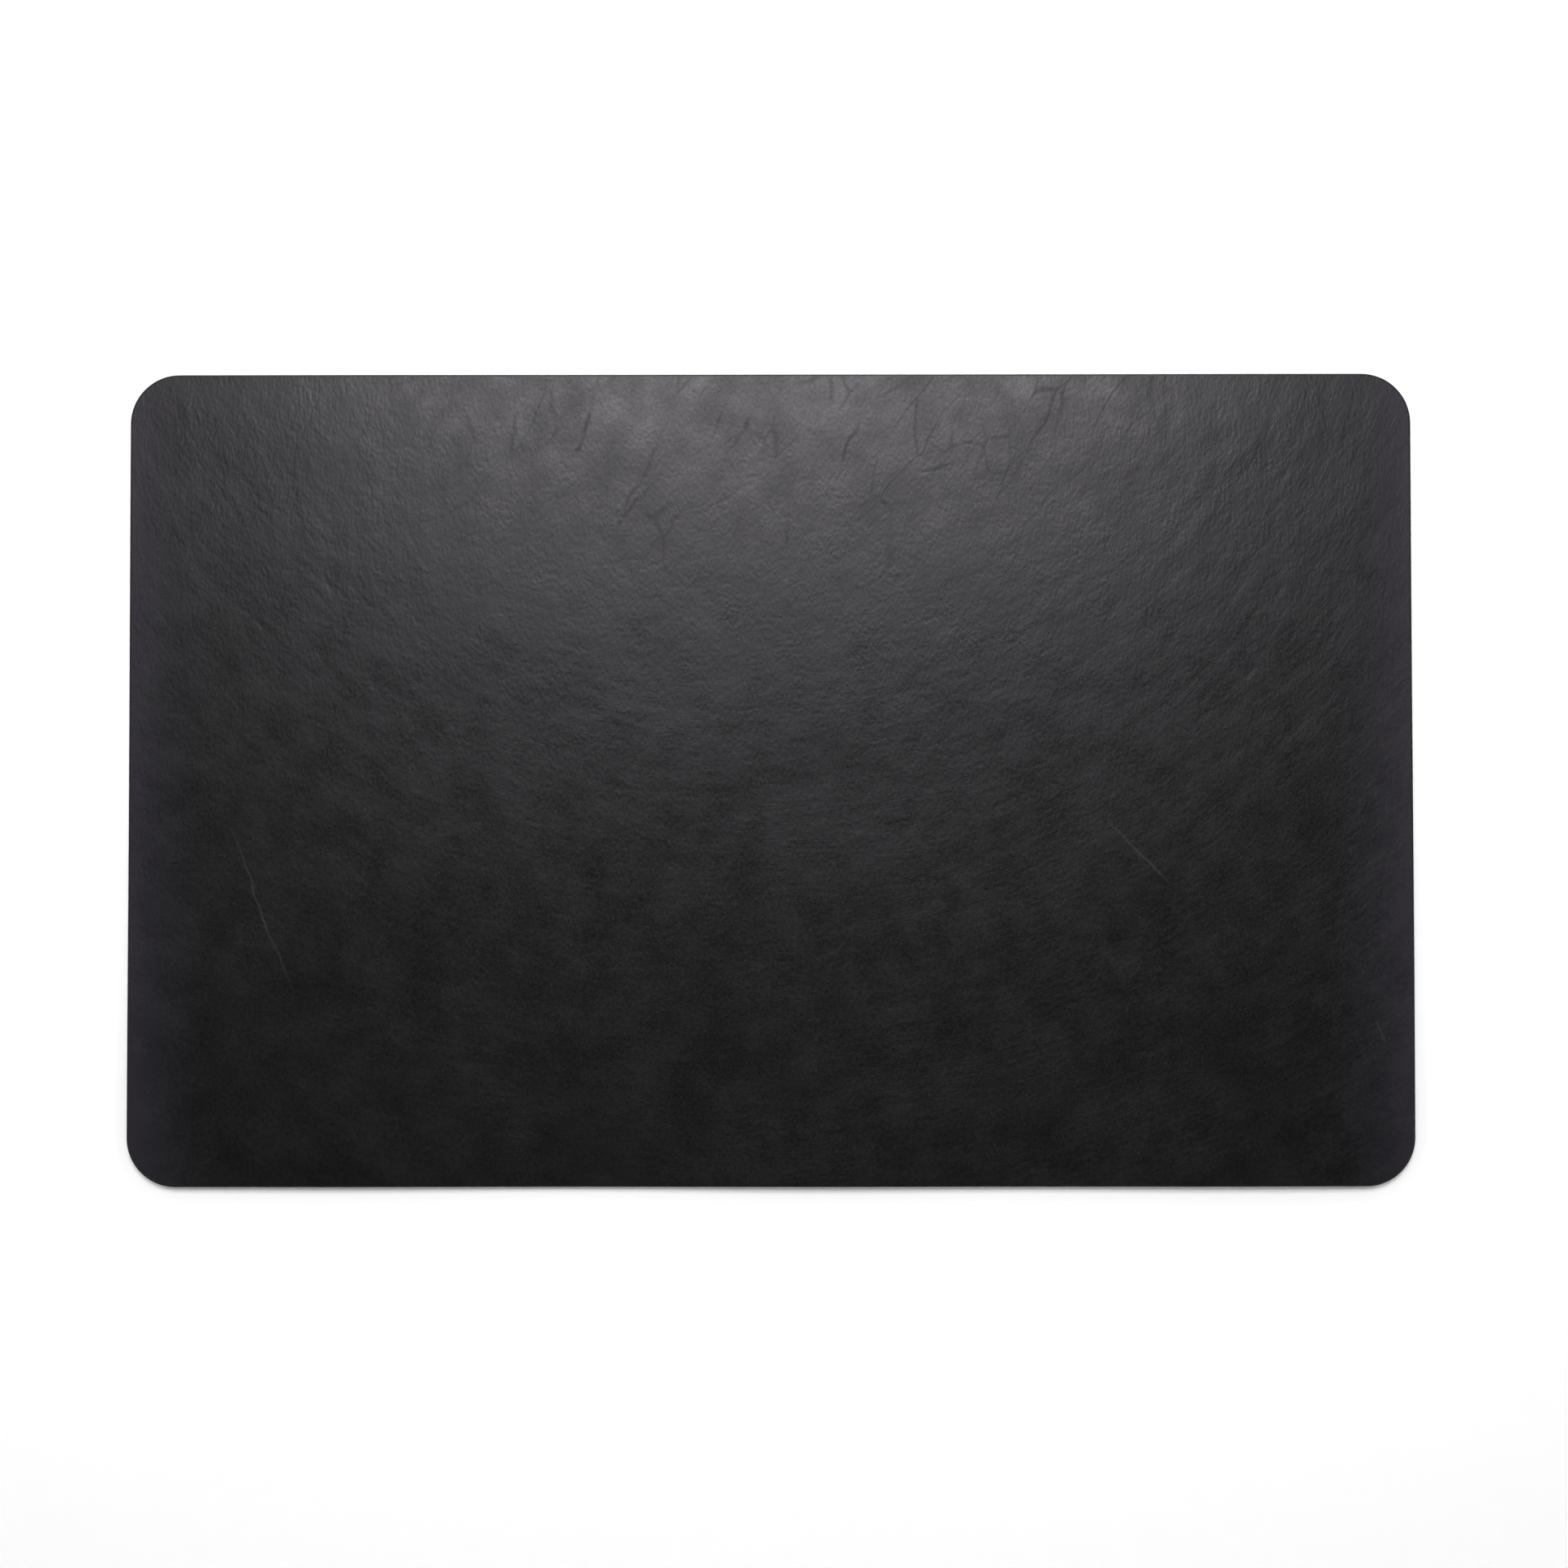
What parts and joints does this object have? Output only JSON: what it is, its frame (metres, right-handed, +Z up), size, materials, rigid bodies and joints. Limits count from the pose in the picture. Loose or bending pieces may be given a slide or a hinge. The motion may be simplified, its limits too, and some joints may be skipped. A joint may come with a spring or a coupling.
{
  "type": "desk mat",
  "caption": "Slim leather desk mat with large rounded corners and a painted edge, laminated on a thin reinforcement board with an anti-slip microfibre backing.",
  "frame": {"origin": "centre of the underside, on the surface the mat lies on", "axes": "+X along the mat's length, +Y across it away from the user, +Z up out of the leather face"},
  "size_m": [0.55, 0.348, 0.003],
  "materials": {
    "leather": "black full-grain leather, fine pebble grain, low sheen",
    "adhesive_film": "translucent amber bonding film",
    "board": "dense brown fibre board",
    "microfibre": "black microfibre suede, short nap",
    "edge_paint": "black flexible edge paint, satin gloss"
  },
  "bodies": {
    "root": {"leather_top": "leather", "upper_adhesive": "adhesive_film", "reinforcement": "board", "lower_adhesive": "adhesive_film", "backing": "microfibre", "edge_coat": "edge_paint"}
  },
  "joints": []
}
